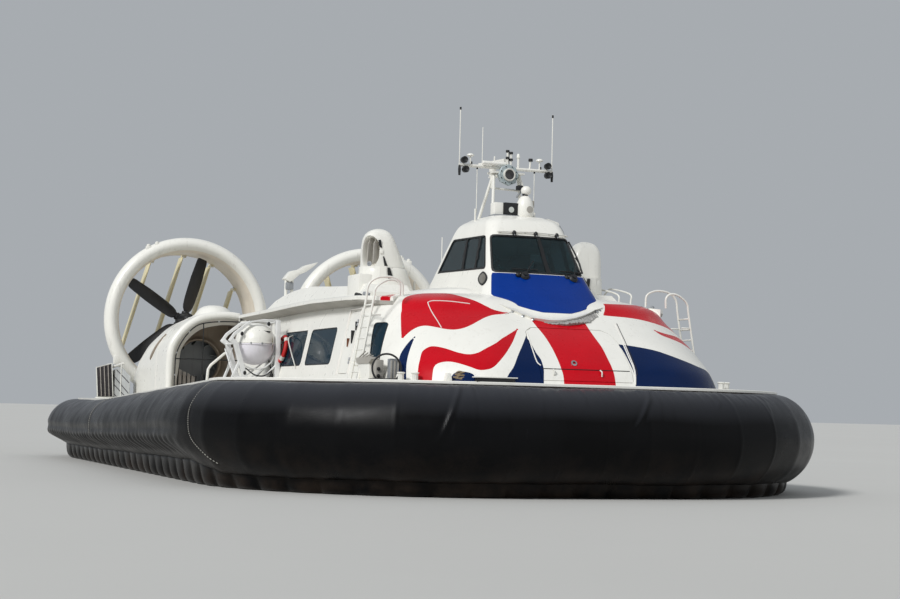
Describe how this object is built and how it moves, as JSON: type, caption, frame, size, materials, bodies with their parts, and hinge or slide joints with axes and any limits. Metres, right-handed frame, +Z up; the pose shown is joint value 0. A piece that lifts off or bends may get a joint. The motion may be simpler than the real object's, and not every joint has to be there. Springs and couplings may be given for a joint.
{
  "type": "passenger hovercraft",
  "caption": "Large passenger hovercraft on an inflated skirt, with a raised cab, twin ducted propellers, canted rudders and a red, white and blue swirl on the nose",
  "frame": {"origin": "on the ground under the middle of the craft, at the lowest point of the skirt", "axes": "+Z up, bow towards -Y, starboard towards -X"},
  "size_m": [12.7, 21.85, 7.24],
  "materials": {
    "hull_paint": "gloss white marine paint with a red, white and blue swirl on the nose",
    "livery_blue": "gloss blue paint",
    "skirt_rubber": "coated black skirt fabric, slightly shiny when wet",
    "rudder_paint": "satin cream paint",
    "tinted_glass": "dark tinted glass",
    "dark_trim": "matt dark grey",
    "blade_composite": "satin black composite",
    "grey_paint": "grey paint",
    "engine_iron": "plain block",
    "bare_alloy": "brushed aluminium tube",
    "seat_fabric": "dark blue woven seat fabric"
  },
  "bodies": {
    "craft": {"hull": "hull_paint", "cabin": "hull_paint", "cabin_roof": "hull_paint", "cab": "hull_paint", "cab_roof": "hull_paint", "cab_apron": "hull_paint", "engine_casing": "hull_paint", "mast": "hull_paint", "searchlight": "hull_paint", "air_trunk_starboard": "hull_paint", "air_trunk_port": "hull_paint", "fan_housing_starboard": "hull_paint", "fan_housing_port": "hull_paint", "duct_starboard": "hull_paint", "duct_port": "hull_paint", "liferaft_pod_starboard": "hull_paint", "liferaft_pod_port": "hull_paint", "stern_grille_starboard": "hull_paint", "stern_grille_port": "hull_paint", "cab_front_panel": "livery_blue", "skirt_bag": "skirt_rubber", "skirt_fingers": "skirt_rubber", "windscreen": "tinted_glass", "cab_side_glass_starboard": "tinted_glass", "cab_side_glass_port": "tinted_glass", "window_glass_fore_starboard": "tinted_glass", "window_glass_fore_port": "tinted_glass", "window_glass_aft_starboard": "tinted_glass", "window_glass_aft_port": "tinted_glass", "cab_console": "dark_trim", "cab_seats": "dark_trim", "liferaft_cradle_starboard": "grey_paint", "liferaft_cradle_port": "grey_paint", "landing_skid_starboard": "grey_paint", "landing_skid_port": "grey_paint", "engine_block_starboard": "engine_iron", "engine_block_port": "engine_iron", "ladder_starboard": "bare_alloy", "ladder_port": "bare_alloy", "passenger_seats_starboard": "seat_fabric", "passenger_seats_port": "seat_fabric"},
    "propeller_starboard": {"propeller_starboard": "blade_composite"},
    "lift_fan_starboard": {"lift_fan_starboard": "grey_paint"},
    "thruster_starboard": {"thruster_starboard": "hull_paint"},
    "side_door_starboard": {"side_door_starboard": "hull_paint"},
    "propeller_port": {"propeller_port": "blade_composite"},
    "lift_fan_port": {"lift_fan_port": "grey_paint"},
    "thruster_port": {"thruster_port": "hull_paint"},
    "side_door_port": {"side_door_port": "hull_paint"},
    "radar_scanner": {"radar_scanner": "hull_paint"},
    "bow_door": {"bow_door": "hull_paint"},
    "rudder_1_starboard": {"rudder_1_starboard": "rudder_paint"},
    "rudder_2_starboard": {"rudder_2_starboard": "rudder_paint"},
    "rudder_3_starboard": {"rudder_3_starboard": "rudder_paint"},
    "rudder_4_starboard": {"rudder_4_starboard": "rudder_paint"},
    "rudder_1_port": {"rudder_1_port": "rudder_paint"},
    "rudder_2_port": {"rudder_2_port": "rudder_paint"},
    "rudder_3_port": {"rudder_3_port": "rudder_paint"},
    "rudder_4_port": {"rudder_4_port": "rudder_paint"}
  },
  "joints": [
    {"name": "propeller_starboard_spin", "type": "hinge", "parent": "craft", "child": "propeller_starboard", "pos_m": [-2.575, 9.65, 3.67], "axis": [0, 1, 0], "continuous": true},
    {"name": "lift_fan_starboard_spin", "type": "hinge", "parent": "craft", "child": "lift_fan_starboard", "pos_m": [-3.43, 4.7, 2.45], "axis": [0, 1, 0], "continuous": true},
    {"name": "thruster_starboard_swivel", "type": "hinge", "parent": "craft", "child": "thruster_starboard", "pos_m": [-2.17, -5.28, 4.15], "axis": [0, 0, 1], "range_deg": [-150, 150]},
    {"name": "side_door_starboard_hinge", "type": "hinge", "parent": "craft", "child": "side_door_starboard", "pos_m": [-3.15388, -6.772, 2.65], "axis": [0.2117, 0, 0.9773], "range_deg": [0, 100]},
    {"name": "propeller_port_spin", "type": "hinge", "parent": "craft", "child": "propeller_port", "pos_m": [2.575, 9.65, 3.67], "axis": [0, 1, 0], "continuous": true},
    {"name": "lift_fan_port_spin", "type": "hinge", "parent": "craft", "child": "lift_fan_port", "pos_m": [3.43, 4.7, 2.45], "axis": [0, 1, 0], "continuous": true},
    {"name": "thruster_port_swivel", "type": "hinge", "parent": "craft", "child": "thruster_port", "pos_m": [2.17, -5.28, 4.15], "axis": [0, 0, 1], "range_deg": [-150, 150]},
    {"name": "side_door_port_hinge", "type": "hinge", "parent": "craft", "child": "side_door_port", "pos_m": [3.15388, -6.772, 2.65], "axis": [0.2117, 0, -0.9773], "range_deg": [0, 100]},
    {"name": "radar_scanner_spin", "type": "hinge", "parent": "craft", "child": "radar_scanner", "pos_m": [-0.02, -5.7, 6.2], "axis": [0, 0, 1], "continuous": true},
    {"name": "bow_door_hinge", "type": "hinge", "parent": "craft", "child": "bow_door", "pos_m": [0, -9.2, 2.985], "axis": [-1, 0, 0], "range_deg": [0, 80]},
    {"name": "rudder_1_starboard_pivot", "type": "hinge", "parent": "craft", "child": "rudder_1_starboard", "pos_m": [-3.73927, 10.45, 4.00385], "axis": [0.2756, 0, 0.9613], "range_deg": [-30, 30]},
    {"name": "rudder_2_starboard_pivot", "type": "hinge", "parent": "craft", "child": "rudder_2_starboard", "pos_m": [-2.96309, 10.45, 3.78128], "axis": [0.2756, 0, 0.9613], "range_deg": [-30, 30]},
    {"name": "rudder_3_starboard_pivot", "type": "hinge", "parent": "craft", "child": "rudder_3_starboard", "pos_m": [-2.18691, 10.45, 3.55872], "axis": [0.2756, 0, 0.9613], "range_deg": [-30, 30]},
    {"name": "rudder_4_starboard_pivot", "type": "hinge", "parent": "craft", "child": "rudder_4_starboard", "pos_m": [-1.41073, 10.45, 3.33615], "axis": [0.2756, 0, 0.9613], "range_deg": [-30, 30]},
    {"name": "rudder_1_port_pivot", "type": "hinge", "parent": "craft", "child": "rudder_1_port", "pos_m": [3.73927, 10.45, 4.00385], "axis": [-0.2756, 0, 0.9613], "range_deg": [-30, 30]},
    {"name": "rudder_2_port_pivot", "type": "hinge", "parent": "craft", "child": "rudder_2_port", "pos_m": [2.96309, 10.45, 3.78128], "axis": [-0.2756, 0, 0.9613], "range_deg": [-30, 30]},
    {"name": "rudder_3_port_pivot", "type": "hinge", "parent": "craft", "child": "rudder_3_port", "pos_m": [2.18691, 10.45, 3.55872], "axis": [-0.2756, 0, 0.9613], "range_deg": [-30, 30]},
    {"name": "rudder_4_port_pivot", "type": "hinge", "parent": "craft", "child": "rudder_4_port", "pos_m": [1.41073, 10.45, 3.33615], "axis": [-0.2756, 0, 0.9613], "range_deg": [-30, 30]}
  ],
  "couplings": [
    {"joint": "rudder_2_starboard_pivot", "follows": "rudder_1_starboard_pivot", "ratio": 1},
    {"joint": "rudder_3_starboard_pivot", "follows": "rudder_1_starboard_pivot", "ratio": 1},
    {"joint": "rudder_4_starboard_pivot", "follows": "rudder_1_starboard_pivot", "ratio": 1},
    {"joint": "rudder_1_port_pivot", "follows": "rudder_1_starboard_pivot", "ratio": 1},
    {"joint": "rudder_2_port_pivot", "follows": "rudder_1_starboard_pivot", "ratio": 1},
    {"joint": "rudder_3_port_pivot", "follows": "rudder_1_starboard_pivot", "ratio": 1},
    {"joint": "rudder_4_port_pivot", "follows": "rudder_1_starboard_pivot", "ratio": 1}
  ]
}
